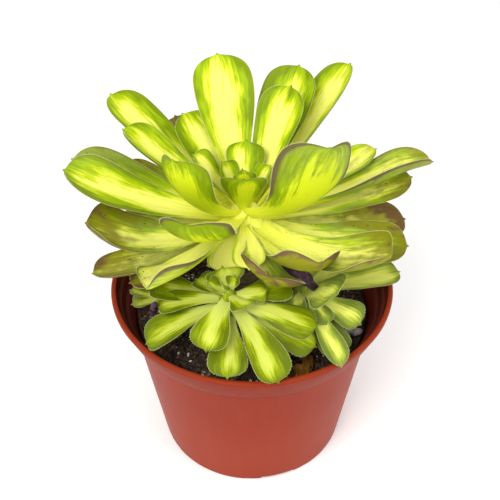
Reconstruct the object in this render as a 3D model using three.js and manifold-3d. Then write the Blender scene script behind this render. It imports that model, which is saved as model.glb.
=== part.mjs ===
// A potted tree aeonium: one big variegated rosette on a short woody stem, with three offset
// rosettes below it, standing in a moulded nursery pot. Millimetres, +Z up. The origin is the
// centre of the pot's underside, -Y is the front.

import * as THREE from 'three';
import { mergeVertices } from 'three/addons/utils/BufferGeometryUtils.js';
import Module from 'manifold-3d';

const wasm = await Module();
wasm.setup();

const GAP = 0.3; // air left between neighbouring pieces
const DEGREE = Math.PI / 180;

// Pot
const POT_HEIGHT = 105;
const RIM_RADIUS = 75;
const LIP_WIDTH = 2.6;
const BAND_HEIGHT = 17;
const BAND_FOOT_RADIUS = 68.6;
const EDGE_ROUNDING = 1.4;
const STACKING_STEPS = [6, 12]; // depths below the lip at which the inside steps in
const STACKING_LEDGE = 1.6;
const STACKING_DRAFT = 1.3; // the inside also narrows by this between the ledges
const STACKING_SLOPE = 0.6; // each ledge falls by this towards its inner edge
const BODY_TOP_RADIUS = 65.4;
const FOOT_RADIUS = 52.2;
const WALL = 1.7;
const FLOOR = 2.6;
const POT_SECTORS = 48;
const NOTCH_ANGLES = [-74, 16, 106, -164];
const NOTCH_STEPS = [{ halfAngle: 20, height: 0.6 }, { halfAngle: 10, height: 1.8 }];
const NOTCH_DEPTH = 6;
const DRAIN_HOLE_RADIUS = 3.5;
const DRAIN_HOLE_SIDES = 8;
const DRAIN_CIRCLE_RADIUS = 40;

// Soil
const SOIL_LEVEL = 88;
const SOIL_SECTORS = 36;
const FACET_ROOM = 0.1; // the pot's flat facets come closer to the axis than its corners
const SOIL_RINGS = [10, 21, 32, 42, 51, 59];
const SOIL_RIM_DROP = 2.5; // the heap is this much lower where it meets the wall
const SOIL_FADE_START = 50; // from this radius out the heap's relief fades away
const SOIL_FADE_WIDTH = 14;
const STEM_DEPTH = 22; // how far the stems stand in the soil

// Leaf form
const LEAF_WAIST = 0.36; // width at the stem, as a share of the widest place
const WAIST_CUP = 25; // extra degrees of cup where the blade leaves the crown
const LEAF_WIDEST = 0.8; // where the blade is widest, as a share of its length
const WAIST_SHAPE = 1.3; // above 1 the waist stays narrow for longer
const END_SHAPE = 2.7; // 2 makes a round end and more makes a blunter one
const FULL_WIDTH = 30; // of the leaves that have these two thicknesses
const LEAF_MIDDLE_THICKNESS = 2.4;
const LEAF_EDGE_THICKNESS = 0.8;
const TIP_HALF_WIDTH = 0.5; // half the width of the small point at the tip
const FLATTEST_BEND = 0.05; // radians, so that the arc across a blade never has an endless radius
const PATH_STEPS = 120;
const LEAF_STATIONS = [0, 0.35, 0.62, 0.84, 0.96, 1]; // shares of the length with a row of points
const SMALL_LEAF = 27; // leaves shorter than this have fewer rows
const SMALL_LEAF_STATIONS = [0, 0.4, 0.75, 0.94, 1];
const CROWN_SECTORS = 16;

// Rosettes: the axis each grows on, the heights and radii between which the leaves leave the crown
// (first the oldest leaf's, then the youngest's), and the outline of the crown itself.
const MAIN = {
  centre: [-4, 0],
  heights: [141, 157],
  radii: [9, 2],
  crown: [[0, 136.8], [8.5, 136.8], [10.8, 139.5], [10.4, 145], [7.5, 152], [4, 157], [0, 160]],
};
const FRONT = {
  centre: [-11, -36.7],
  heights: [118.5, 129.5],
  radii: [6, 1.2],
  crown: [[0, 114.7], [5, 114.7], [7, 117], [6.8, 120.5], [5, 125], [2.5, 129], [0, 130.8]],
};
const SIDE = {
  centre: [27, -17],
  heights: [107, 119],
  radii: [6, 1.5],
  crown: [[0, 103.2], [5, 103.2], [7, 105.5], [6.8, 109], [5, 113.5], [2.5, 118], [0, 120]],
};
const BACK = {
  centre: [-47, -9],
  heights: [96, 103],
  radii: [3.5, 1],
  crown: [[0, 93.4], [3, 93.4], [4.2, 95], [4, 98], [2.6, 101.5], [0, 104.5]],
};

// Leaves, oldest first. at: compass direction in degrees, 0 along +X and 90 along +Y. rise: slope
// in degrees at the stem and at the tip. level: place on the crown, 0 lowest and 1 at the bud.
// cup: how far each half of the blade bends up. roll: turn about the midrib. tipCurl and tipCup:
// more slope and more cup at the end of the blade.
const MAIN_LEAVES = [
  { at: 125, length: 68, width: 28, rise: [-14, -8], level: 0.00 },
  { at: 97, length: 70, width: 29, rise: [-16, -10], level: 0.02 },
  { at: 70, length: 68, width: 28, rise: [-16, -8], level: 0.04 },
  { at: 45, length: 66, width: 27, rise: [-14, -6], level: 0.06 },
  { at: -166, length: 74, width: 28, rise: [-32, 6], level: 0.05, roll: 10 },
  { at: -160, length: 58, width: 25, rise: [-38, -4], level: 0.02, cup: 30 },
  { at: 12, length: 81, width: 27, rise: [-22, 6], level: 0.10, cup: 26, roll: 14 },
  { at: -6, length: 77, width: 30, rise: [-20, 8], level: 0.12, cup: 28, roll: 10 },
  { at: -33, length: 79, width: 39, rise: [-20, 42], level: 0.20, cup: 32, roll: -2, tipCup: 16 },
  { at: -74, length: 43, width: 38, rise: [-30, 31], level: 0.10,
    cup: 29, roll: -36, tipCurl: 40, tipCup: 20 },
  { at: -54, length: 59, width: 38, rise: [-22, 45], level: 0.25,
    cup: 26, roll: -24, tipCurl: 17, tipCup: 47 },
  { at: 150, length: 72, width: 27, rise: [-4, 16], level: 0.12, cup: 30 },
  { at: 124, length: 66, width: 22, rise: [20, 32], level: 0.18, cup: 30 },
  { at: -164, length: 78, width: 35, rise: [-23, 48], level: 0.22, roll: -4, tipCup: 13 },
  { at: 170, length: 63, width: 28, rise: [-26, 8], level: 0.15, cup: 30 },
  { at: 24, length: 62, width: 24, rise: [0, 14], level: 0.15, cup: 30, roll: 10 },
  { at: 42, length: 56, width: 24, rise: [10, 20], level: 0.15, cup: 30 },
  { at: 10, length: 82, width: 27, rise: [0, 22], level: 0.28, cup: 30, roll: 5 },
  { at: 22, length: 71, width: 20, rise: [12, 28], level: 0.30, cup: 40 },
  { at: 8, length: 93, width: 28, rise: [6, 32], level: 0.38,
    cup: 58, roll: -16, tipCurl: -25, tipCup: 10 },
  { at: 165, length: 88, width: 29, rise: [4, 22], level: 0.34, cup: 38, roll: -8 },
  { at: 181, length: 88, width: 32, rise: [2, 38], level: 0.40, cup: 42, roll: -8 },
  { at: -133, length: 61, width: 33, rise: [-22, 17], level: 0.30,
    cup: 35, roll: 31, tipCurl: -8, tipCup: 43 },
  { at: -116, length: 26, width: 20, rise: [-30, -72], level: 0.30 },
  { at: -85, length: 27, width: 17, rise: [-8, -38], level: 0.42, cup: 30 },
  { at: -118, length: 60, width: 38, rise: [2, 56], level: 0.50,
    cup: 27, roll: 15, tipCurl: 24, tipCup: 26 },
  { at: 147, length: 88, width: 29, rise: [27, 33], level: 0.44, cup: 32, roll: 5 },
  { at: 44, length: 90, width: 27, rise: [36, 42], level: 0.48, cup: 45, roll: -14 },
  { at: 61, length: 77, width: 30, rise: [44, 50], level: 0.50, cup: 30 },
  { at: 162, length: 69, width: 24, rise: [26, 38], level: 0.58, cup: 60 },
  { at: -48, length: 86, width: 40, rise: [22, 86], level: 0.62,
    cup: 36, roll: -28, tipCurl: -14, tipCup: 30 },
  { at: -139, length: 65, width: 31, rise: [20, 86], level: 0.64, cup: 45, roll: 18, tipCup: 20 },
  { at: 106, length: 77, width: 32, rise: [54, 56], level: 0.60, cup: 30 },
  { at: 54, length: 63, width: 26, rise: [54, 56], level: 0.70, cup: 30 },
  { at: 140, length: 54, width: 27, rise: [46, 50], level: 0.68 },
  { at: 170, length: 36, width: 20, rise: [50, 54], level: 0.78, cup: 40 },
  { at: -90, length: 26, width: 25, rise: [60, 85], level: 0.80, cup: 45 },
  { at: 86, length: 31, width: 21, rise: [62, 60], level: 0.85, cup: 40 },
  { at: 20, length: 23, width: 15, rise: [58, 62], level: 0.88, cup: 45 },
  { at: 146, length: 23, width: 15, rise: [60, 64], level: 0.92, cup: 45 },
  { at: -80, length: 22, width: 13, rise: [74, 90], level: 0.96, cup: 50 },
  { at: 100, length: 17, width: 10, rise: [80, 84], level: 1.00, cup: 60 },
];

const FRONT_LEAVES = [
  { at: -91, length: 33, width: 20, rise: [-10, -34], level: 0.00, cup: 30 },
  { at: -22, length: 42, width: 19, rise: [-6, -24], level: 0.05, cup: -20, roll: 10 },
  { at: -163, length: 41, width: 22, rise: [-8, -33], level: 0.10, cup: 30 },
  { at: -59, length: 45, width: 20, rise: [0, -40], level: 0.30, cup: 30 },
  { at: 160, length: 39, width: 18, rise: [-2, -6], level: 0.30, cup: 30, roll: -8 },
  { at: -16, length: 41, width: 20, rise: [2, -16], level: 0.35, cup: -25, roll: 10 },
  { at: 177, length: 33, width: 17, rise: [0, -24], level: 0.45, cup: 30 },
  { at: 20, length: 29, width: 22, rise: [10, 4], level: 0.45, cup: -15 },
  { at: 145, length: 18, width: 15, rise: [12, 8], level: 0.50, cup: 40 },
  { at: -110, length: 30, width: 20, rise: [4, -34], level: 0.60 },
  { at: 108, length: 14, width: 21, rise: [42, 58], level: 0.65, cup: 35 },
  { at: 6, length: 17, width: 14, rise: [16, 4], level: 0.70, cup: -25, roll: 10 },
  { at: 175, length: 12, width: 12, rise: [40, 36], level: 0.80, cup: 50 },
  { at: -60, length: 15, width: 12, rise: [24, 4], level: 0.85, cup: -25 },
  { at: 60, length: 9, width: 9, rise: [60, 60], level: 0.90, cup: 50 },
  { at: -140, length: 8, width: 7, rise: [70, 70], level: 1.00, cup: 50 },
];

const SIDE_LEAVES = [
  { at: -62, length: 32, width: 19, rise: [-12, -30], level: 0.00, cup: 30 },
  { at: -72, length: 46, width: 15, rise: [4, -8], level: 0.10, cup: 60 },
  { at: -32, length: 29, width: 21, rise: [-2, -18], level: 0.20, cup: 30 },
  { at: 14, length: 48, width: 23, rise: [2, 6], level: 0.30 },
  { at: 45, length: 36, width: 20, rise: [4, 4], level: 0.25 },
  { at: 90, length: 34, width: 20, rise: [4, 2], level: 0.30 },
  { at: 140, length: 21, width: 18, rise: [6, 0], level: 0.40 },
  { at: -66, length: 22, width: 12, rise: [0, -10], level: 0.40, cup: 40 },
  { at: -110, length: 20, width: 14, rise: [6, -4], level: 0.50, cup: 40 },
  { at: -58, length: 29, width: 24, rise: [40, 28], level: 0.60, cup: 12, roll: 25 },
  { at: 60, length: 20, width: 14, rise: [34, 30], level: 0.70, cup: 40 },
  { at: 170, length: 12, width: 12, rise: [44, 36], level: 0.80, cup: 40 },
];

const BACK_LEAVES = [
  { at: -165, length: 15, width: 11, rise: [4, 0], level: 0.30, cup: 40 },
  { at: 165, length: 17, width: 9, rise: [10, 6], level: 0.30, cup: 40 },
  { at: 100, length: 18, width: 10, rise: [16, 12], level: 0.40, cup: 40 },
  { at: 20, length: 15, width: 10, rise: [26, 20], level: 0.50, cup: 40 },
  { at: -70, length: 14, width: 9, rise: [20, 14], level: 0.60, cup: 40 },
  { at: 150, length: 10, width: 7, rise: [56, 54], level: 0.80, cup: 40 },
];

// Stems: radius, and the points that the middle line passes, from its foot in the soil up.
const STEM_BOTTOM = SOIL_LEVEL - STEM_DEPTH;
const MAIN_STEM = {
  radius: 8,
  path: [[-3, 1, STEM_BOTTOM], [-3, 1, 92], [-4.6, 0.5, 115], [-4, 0, 132], [-4, 0, 136.4]],
};
const FRONT_STEM = {
  radius: 4,
  path: [
    [-11, -27, STEM_BOTTOM], [-11, -27, 90], [-11.5, -33, 104], [-11, -36.5, 110], [-11, -36.7, 114.1],
  ],
};
const SIDE_STEM = {
  radius: 4,
  path: [[27, -17, STEM_BOTTOM], [26.6, -16.6, 82], [27, -17, 92], [27, -17, 102.7]],
};
const BACK_STEM = {
  radius: 2.6,
  path: [[-47, -9, STEM_BOTTOM], [-47, -9, 80], [-47, -9, 87], [-47, -9, 93.1]],
};
const STUB = {
  radius: 1.8,
  path: [[-51, -17, STEM_BOTTOM], [-51, -17, 90], [-52, -18, 97], [-50.5, -19, 104]],
};
const STEM_SIDES = 5; // in each half of the circle
const STEM_STEPS = 6;

function merged(geometry) {
  const bare = geometry.clone();
  bare.deleteAttribute('normal');
  bare.deleteAttribute('uv');
  return mergeVertices(bare, 1e-4);
}

function toSolid(geometry) {
  const closed = merged(geometry);
  const vertProperties = new Float32Array(closed.attributes.position.array);
  const triVerts = new Uint32Array(closed.index.array);
  return new wasm.Manifold(new wasm.Mesh({ numProp: 3, vertProperties, triVerts }));
}

function toGeometry(solid) {
  const { vertProperties, triVerts } = solid.getMesh();
  const geometry = new THREE.BufferGeometry();
  geometry.setAttribute('position', new THREE.BufferAttribute(vertProperties, 3));
  geometry.setIndex(new THREE.BufferAttribute(triVerts, 1));
  return geometry;
}

// A body turned about a vertical axis from an outline of [radius, height] points that runs from
// the axis round the outside and back to the axis.
function turned(outline, sectors, centre = [0, 0]) {
  const points = outline.map(([radius, height]) => new THREE.Vector2(radius, height));
  const geometry = new THREE.LatheGeometry(points, sectors);
  geometry.rotateX(Math.PI / 2);
  geometry.translate(centre[0], centre[1], 0);
  return toSolid(geometry);
}

function box(deep, wide, high, x, turn) {
  const geometry = new THREE.BoxGeometry(deep, wide, high);
  geometry.translate(x, 0, 0);
  geometry.rotateZ(turn);
  return toSolid(geometry);
}

const lerp = THREE.MathUtils.lerp;
const smooth = (x) => THREE.MathUtils.smoothstep(x, 0, 1);

// Pot: a tapered body, a deeper tapered band below the lip, and steps inside for stacking.
function makePot() {
  const lipRadius = RIM_RADIUS - LIP_WIDTH;
  const bandFoot = POT_HEIGHT - BAND_HEIGHT;
  const outline = [
    [0, 0],
    [FOOT_RADIUS - EDGE_ROUNDING, 0],
    [FOOT_RADIUS, EDGE_ROUNDING],
    [BODY_TOP_RADIUS, bandFoot],
    [BAND_FOOT_RADIUS, bandFoot],
    [RIM_RADIUS, POT_HEIGHT - EDGE_ROUNDING],
    [RIM_RADIUS - 0.3 * EDGE_ROUNDING, POT_HEIGHT - 0.3 * EDGE_ROUNDING],
    [RIM_RADIUS - EDGE_ROUNDING, POT_HEIGHT],
    [lipRadius, POT_HEIGHT - 0.3 * EDGE_ROUNDING],
    ...STACKING_STEPS.flatMap((depth, k) => {
      const radius = lipRadius - (k + 1) * STACKING_DRAFT - k * STACKING_LEDGE;
      return [
        [radius, POT_HEIGHT - depth],
        [radius - STACKING_LEDGE, POT_HEIGHT - depth - STACKING_SLOPE],
      ];
    }),
    [BODY_TOP_RADIUS - WALL, bandFoot - 1],
    [FOOT_RADIUS - WALL, FLOOR],
    [0, FLOOR],
  ];
  let pot = turned(outline, POT_SECTORS);
  NOTCH_ANGLES.forEach((angle) => {
    NOTCH_STEPS.forEach(({ halfAngle, height }) => {
      const width = 2 * FOOT_RADIUS * Math.sin(halfAngle * DEGREE);
      pot = pot.subtract(box(2 * NOTCH_DEPTH, width, 2 * height, FOOT_RADIUS, angle * DEGREE));
    });
  });
  NOTCH_ANGLES.flatMap((angle) => [angle, angle + 45]).forEach((angle) => {
    const high = 4 * FLOOR;
    const hole = new THREE.CylinderGeometry(DRAIN_HOLE_RADIUS, DRAIN_HOLE_RADIUS, high, DRAIN_HOLE_SIDES);
    hole.rotateX(Math.PI / 2);
    hole.translate(DRAIN_CIRCLE_RADIUS, 0, 0);
    hole.rotateZ(angle * DEGREE);
    pot = pot.subtract(toSolid(hole));
  });
  return pot;
}

// Low uneven relief of the potting mix, in millimetres above its level: waves about 44, 38 and
// 27 mm long, and a mound 2.2 mm high round the main stem.
function soilRelief(x, y) {
  const lumps = Math.sin(x / 7 + 1.3) * Math.cos(y / 6.1) + 0.6 * Math.sin((x + y) / 4.3);
  const mound = 2.2 * Math.exp(-((x + 4) ** 2 + (y + 8) ** 2) / 900);
  return lumps + mound;
}

// Soil: fills the pot, its top a grid of rings, with a plain hole for each stem.
function makeSoil(stems) {
  const slope = (BODY_TOP_RADIUS - FOOT_RADIUS) / (POT_HEIGHT - BAND_HEIGHT - 1 - FLOOR);
  const rimHeight = SOIL_LEVEL - SOIL_RIM_DROP;
  const footRadius = FOOT_RADIUS - WALL - GAP - FACET_ROOM;
  const rimRadius = footRadius + slope * (rimHeight - FLOOR - GAP);
  const rings = [...SOIL_RINGS, rimRadius, footRadius];
  const points = [];
  rings.forEach((radius, ring) => {
    for (let k = 0; k < SOIL_SECTORS; k += 1) {
      const angle = (2 * Math.PI * k) / SOIL_SECTORS;
      const x = radius * Math.cos(angle);
      const y = radius * Math.sin(angle);
      const fade = 1 - smooth((radius - SOIL_FADE_START) / SOIL_FADE_WIDTH);
      let height = rimHeight + (SOIL_LEVEL - rimHeight + soilRelief(x, y)) * fade;
      if (ring === rings.length - 1) height = FLOOR + GAP;
      points.push(x, y, height);
    }
  });
  const top = points.length / 3;
  points.push(0, 0, SOIL_LEVEL + soilRelief(0, 0));
  points.push(0, 0, FLOOR + GAP);
  const faces = [];
  for (let k = 0; k < SOIL_SECTORS; k += 1) {
    const next = (k + 1) % SOIL_SECTORS;
    faces.push(top, k, next);
    for (let ring = 0; ring < rings.length - 1; ring += 1) {
      const inner = ring * SOIL_SECTORS;
      const outer = inner + SOIL_SECTORS;
      faces.push(inner + k, outer + k, outer + next);
      faces.push(inner + k, outer + next, inner + next);
    }
    const last = (rings.length - 1) * SOIL_SECTORS;
    faces.push(top + 1, last + next, last + k);
  }
  const geometry = new THREE.BufferGeometry();
  geometry.setAttribute('position', new THREE.Float32BufferAttribute(points, 3));
  geometry.setIndex(faces);
  let soil = toSolid(geometry);
  stems.forEach((stem) => {
    soil = soil.subtract(makeStem(stem, GAP));
  });
  return soil;
}

// Stem: a round tube along a curve. With room added it is the hole that the stem stands in.
function makeStem({ radius, path }, room = 0) {
  const points = path.map(([x, y, z]) => new THREE.Vector3(x, y, z));
  points[0].z -= room;
  const curve = new THREE.CatmullRomCurve3(points);
  const section = new THREE.Shape();
  section.absarc(0, 0, radius + room, 0, 2 * Math.PI);
  const geometry = new THREE.ExtrudeGeometry(section, {
    steps: STEM_STEPS,
    curveSegments: STEM_SIDES,
    extrudePath: curve,
  });
  return toSolid(geometry);
}

// Share of the full width at a share s of the length: a narrow waist, a broad round end.
function leafOutline(s) {
  if (s <= LEAF_WIDEST) {
    return LEAF_WAIST + (1 - LEAF_WAIST) * smooth(s / LEAF_WIDEST) ** WAIST_SHAPE;
  }
  const x = (s - LEAF_WIDEST) / (1 - LEAF_WIDEST);
  return Math.sqrt(Math.max(0, 1 - x ** END_SHAPE));
}

// Points and slopes of the midrib, found by walking out from the stem in small steps.
function midrib(base, leaf, stations) {
  const [riseBase, riseTip] = leaf.rise;
  const angle = leaf.at * DEGREE;
  const slope = (s) => {
    const curl = (leaf.tipCurl ?? 0) * smooth((s - 0.7) / 0.3);
    return (lerp(riseBase, riseTip, s) + curl) * DEGREE;
  };
  const step = leaf.length / PATH_STEPS;
  const places = [];
  let out = 0;
  let up = 0;
  let k = 0;
  stations.forEach((s) => {
    for (; k < Math.round(s * PATH_STEPS); k += 1) {
      const middle = slope((k + 0.5) / PATH_STEPS);
      out += step * Math.cos(middle);
      up += step * Math.sin(middle);
    }
    const point = new THREE.Vector3(out * Math.cos(angle), out * Math.sin(angle), up).add(base);
    places.push({ point, slope: slope(s) });
  });
  return places;
}

// Leaf: a cupped fleshy blade. Each station along the midrib carries a row of upper and a row of
// lower points. Both faces are split into triangles alike, so that they never meet.
function makeLeaf(base, leaf, stations, across) {
  const angle = leaf.at * DEGREE;
  const side = new THREE.Vector3(-Math.sin(angle), Math.cos(angle), 0);
  const fleshiness = Math.sqrt(leaf.width / FULL_WIDTH);
  const upper = [];
  const lower = [];
  midrib(base, leaf, stations).forEach(({ point, slope }, i) => {
    const s = stations[i];
    const up = new THREE.Vector3(
      -Math.sin(slope) * Math.cos(angle),
      -Math.sin(slope) * Math.sin(angle),
      Math.cos(slope),
    );
    const roll = (leaf.roll ?? 0) * DEGREE;
    const left = side.clone().multiplyScalar(Math.cos(roll)).addScaledVector(up, Math.sin(roll));
    const normal = up.clone().multiplyScalar(Math.cos(roll)).addScaledVector(side, -Math.sin(roll));
    const halfWidth = Math.max(TIP_HALF_WIDTH, (leaf.width / 2) * leafOutline(s));
    const baseCup = WAIST_CUP * (1 - smooth(s / 0.5));
    const tipCup = (leaf.tipCup ?? 0) * smooth((s - 0.6) / 0.4);
    let bend = ((leaf.cup ?? 35) + baseCup + tipCup) * DEGREE;
    if (Math.abs(bend) < FLATTEST_BEND) bend = FLATTEST_BEND;
    for (let j = 0; j <= across; j += 1) {
      const t = -1 + (2 * j) / across;
      const flesh = LEAF_EDGE_THICKNESS + (LEAF_MIDDLE_THICKNESS - LEAF_EDGE_THICKNESS) * (1 - t * t);
      const half = (flesh * fleshiness * (s > 0.9 ? 0.8 : 1)) / 2;
      const face = normal
        .clone()
        .multiplyScalar(Math.cos(bend * t))
        .addScaledVector(left, -Math.sin(bend * t));
      const middle = point
        .clone()
        .addScaledVector(left, (halfWidth * Math.sin(bend * t)) / bend)
        .addScaledVector(normal, (halfWidth * (1 - Math.cos(bend * t))) / bend);
      upper.push(middle.clone().addScaledVector(face, half));
      lower.push(middle.clone().addScaledVector(face, -half));
    }
  });
  return toSolid(closedBlade(upper, lower, stations.length, across + 1));
}

function closedBlade(upper, lower, rows, columns) {
  const points = [...upper, ...lower].flatMap((point) => point.toArray());
  const under = rows * columns;
  const faces = [];
  const quad = (a, b, c, d) => faces.push(a, b, c, a, c, d);
  for (let i = 0; i < rows - 1; i += 1) {
    for (let j = 0; j < columns - 1; j += 1) {
      const a = i * columns + j;
      quad(a, a + columns, a + columns + 1, a + 1);
      faces.push(under + a, under + a + columns + 1, under + a + columns);
      faces.push(under + a, under + a + 1, under + a + columns + 1);
    }
    const right = i * columns;
    const left = right + columns - 1;
    quad(right, under + right, under + right + columns, right + columns);
    quad(left, left + columns, under + left + columns, under + left);
  }
  for (let j = 0; j < columns - 1; j += 1) {
    const end = (rows - 1) * columns + j;
    quad(j, j + 1, under + j + 1, under + j);
    quad(end, under + end, under + end + 1, end + 1);
  }
  const geometry = new THREE.BufferGeometry();
  geometry.setAttribute('position', new THREE.Float32BufferAttribute(points, 3));
  geometry.setIndex(faces);
  return geometry;
}

// Rosette: its leaves joined to the crown that they grow from.
function makeRosette(head, leaves) {
  let rosette = turned(head.crown, CROWN_SECTORS, head.centre);
  leaves.forEach((leaf) => {
    const angle = leaf.at * DEGREE;
    const radius = lerp(head.radii[0], head.radii[1], leaf.level);
    const base = new THREE.Vector3(
      head.centre[0] + radius * Math.cos(angle),
      head.centre[1] + radius * Math.sin(angle),
      lerp(head.heights[0], head.heights[1], leaf.level),
    );
    const small = leaf.length < SMALL_LEAF;
    const stations = small ? SMALL_LEAF_STATIONS : LEAF_STATIONS;
    rosette = rosette.add(makeLeaf(base, leaf, stations, small ? 2 : 3));
  });
  return withoutHollows(rosette);
}

// Fills small hollows shut in between leaves that touch near the crown.
function withoutHollows(solid) {
  const shells = solid.decompose();
  return shells.reduce((largest, shell) => (shell.volume() > largest.volume() ? shell : largest));
}

// Dry leaf: a thin curled strip along a curve, wider in the middle.
function makeDryLeaf(path, width, thickness, turn) {
  const curve = new THREE.CatmullRomCurve3(path.map(([x, y, z]) => new THREE.Vector3(x, y, z)));
  const rows = 9;
  const columns = 4;
  const upper = [];
  const lower = [];
  for (let i = 0; i < rows; i += 1) {
    const s = i / (rows - 1);
    const point = curve.getPoint(s);
    const along = curve.getTangent(s);
    const side = new THREE.Vector3(0, 0, 1).cross(along).normalize();
    side.applyAxisAngle(along, turn[0] + (turn[1] - turn[0]) * s);
    const face = along.clone().cross(side).normalize();
    const halfWidth = (width / 2) * (0.3 + 0.7 * Math.sin(Math.PI * Math.min(1, 0.08 + 0.9 * s)));
    for (let j = 0; j < columns; j += 1) {
      const t = -1 + (2 * j) / (columns - 1);
      const curl = 0.35 * halfWidth * t * t;
      const middle = point.clone().addScaledVector(side, halfWidth * t).addScaledVector(face, curl);
      upper.push(middle.clone().addScaledVector(face, thickness / 2));
      lower.push(middle.clone().addScaledVector(face, -thickness / 2));
    }
  }
  return toSolid(closedBlade(upper, lower, rows, columns));
}

function material(color, roughness) {
  return new THREE.MeshStandardMaterial({ color, roughness, metalness: 0 });
}

const plastic = material(0xb4503c, 0.45);
const pottingMix = material(0x33271f, 0.95);
const bark = material(0x7d6a4c, 0.85);
const leafGreen = material(0xb9d62f, 0.4);
const dryTan = material(0x9a6a34, 0.8);
const witheredPurple = material(0x3d2a30, 0.75);

const plant = new THREE.Group();

function addPiece(name, solid, finish) {
  const mesh = new THREE.Mesh(toGeometry(solid), finish);
  mesh.name = name;
  plant.add(mesh);
}

const TAN_LEAF_PATH = [[15, -43, 88.9], [19, -54, 88.9], [26, -53, 91.3], [29, -44, 92.3]];
const WITHERED_LEAF_PATH = [[3.2, -4.15, 129.6], [14, -15, 131.4], [24, -25, 129.4], [32, -28, 123.6]];

addPiece('pot', makePot(), plastic);
addPiece('soil', makeSoil([MAIN_STEM, FRONT_STEM, SIDE_STEM, BACK_STEM, STUB]), pottingMix);
addPiece('main_stem', makeStem(MAIN_STEM), bark);
addPiece('front_stem', makeStem(FRONT_STEM), bark);
addPiece('side_stem', makeStem(SIDE_STEM), bark);
addPiece('back_stem', makeStem(BACK_STEM), bark);
addPiece('main_rosette', makeRosette(MAIN, MAIN_LEAVES), leafGreen);
addPiece('front_rosette', makeRosette(FRONT, FRONT_LEAVES), leafGreen);
addPiece('side_rosette', makeRosette(SIDE, SIDE_LEAVES), leafGreen);
addPiece('back_rosette', makeRosette(BACK, BACK_LEAVES), leafGreen);
addPiece('dry_leaf', makeDryLeaf(TAN_LEAF_PATH, 9, 0.8, [0, 0.9]), dryTan);
addPiece('withered_leaf', makeDryLeaf(WITHERED_LEAF_PATH, 9, 0.9, [0.3, 1.0]), witheredPurple);
addPiece('dried_stub', makeStem(STUB), witheredPurple);

export default plant;
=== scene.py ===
# %% [markdown]
# # A potted tree aeonium in Blender
#
# The object is a variegated tree aeonium in a moulded nursery pot. The packed solids give every
# size and place. This lesson dresses them: each leaf is drawn again as a smooth fleshy blade with
# its yellow and green streaks, the soil gets its crumbs and white grains, and the pot its rounded
# lip. All lengths below are in millimetres in the solids' own frame: +Z is up and -Y is the front.

import bpy
import numpy as np
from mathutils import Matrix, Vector


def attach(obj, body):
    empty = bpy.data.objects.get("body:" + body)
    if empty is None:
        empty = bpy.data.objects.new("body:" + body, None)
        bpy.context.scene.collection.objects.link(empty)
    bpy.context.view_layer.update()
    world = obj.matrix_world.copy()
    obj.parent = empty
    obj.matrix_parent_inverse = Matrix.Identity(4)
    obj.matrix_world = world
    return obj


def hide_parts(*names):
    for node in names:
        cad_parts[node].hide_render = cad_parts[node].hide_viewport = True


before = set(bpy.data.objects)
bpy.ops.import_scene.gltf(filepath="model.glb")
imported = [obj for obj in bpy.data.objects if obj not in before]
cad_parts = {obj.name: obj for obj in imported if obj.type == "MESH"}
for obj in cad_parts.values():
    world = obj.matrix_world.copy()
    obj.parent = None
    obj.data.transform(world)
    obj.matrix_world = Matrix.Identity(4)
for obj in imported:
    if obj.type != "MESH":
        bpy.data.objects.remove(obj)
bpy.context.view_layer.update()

MM = 0.001
print("nodes:", ", ".join(sorted(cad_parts)))

# %% [markdown]
# ## Camera
#
# The photograph looks down on the plant from the front. The pot's outline gave the place of the
# camera: 468 mm from a point above the soil, 39.8 degrees above the horizon. The lens follows from
# the picture's size, and a very small shift puts the pot a touch right of the middle.

# %% Camera
LOOK_AT = np.array([0.0, 0.0, 125.0])
CAMERA_DISTANCE = 468.2
CAMERA_RISE = np.radians(39.81)
PICTURE_WIDTH = 500
FOCAL_PIXELS = 900
SENSOR = 36.0

away = np.array([0.0, -np.cos(CAMERA_RISE), np.sin(CAMERA_RISE)])
camera_data = bpy.data.cameras.new("photo_camera")
camera_data.sensor_width = SENSOR
camera_data.lens = FOCAL_PIXELS / PICTURE_WIDTH * SENSOR
camera_data.shift_x = -2.03 / PICTURE_WIDTH
camera_data.clip_start = 0.01
camera = bpy.data.objects.new("photo_camera", camera_data)
camera.location = Vector((LOOK_AT + CAMERA_DISTANCE * away) * MM)
camera.rotation_euler = (-Vector(away)).to_track_quat("-Z", "Y").to_euler()
bpy.context.collection.objects.link(camera)
bpy.context.scene.camera = camera
print("camera at", [round(v, 4) for v in camera.location], "lens", round(camera_data.lens, 1))

# %% [markdown]
# ## Making meshes from arrays
#
# Every new piece is a surface worked out with numpy. A surface is a grid: rows run one way and
# columns the other, so its faces can be counted off without looking at any single point. A ring
# of points carried along a path is the same grid, closed in one direction. From here on a surface
# is four things: points, squares, triangles and named values for each point. Each piece made of it
# rides the root, gets a material slot and replaces one of the solids.

# %% Mesh helpers
def ring_faces(rows, columns):
    """Squares between neighbouring rings. Each of the rows is a closed ring of columns points."""
    row, column = np.meshgrid(columns * np.arange(rows - 1), np.arange(columns), indexing="ij")
    beside = (column + 1) % columns
    corners = [row + column, row + beside, row + columns + beside, row + columns + column]
    return np.stack(corners, axis=-1).reshape(-1, 4)


def fan_faces(ring, centre):
    """Triangles from a closed ring of point numbers to one centre point."""
    return np.stack([ring, np.full(len(ring), centre), np.roll(ring, -1)], axis=-1)


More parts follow.
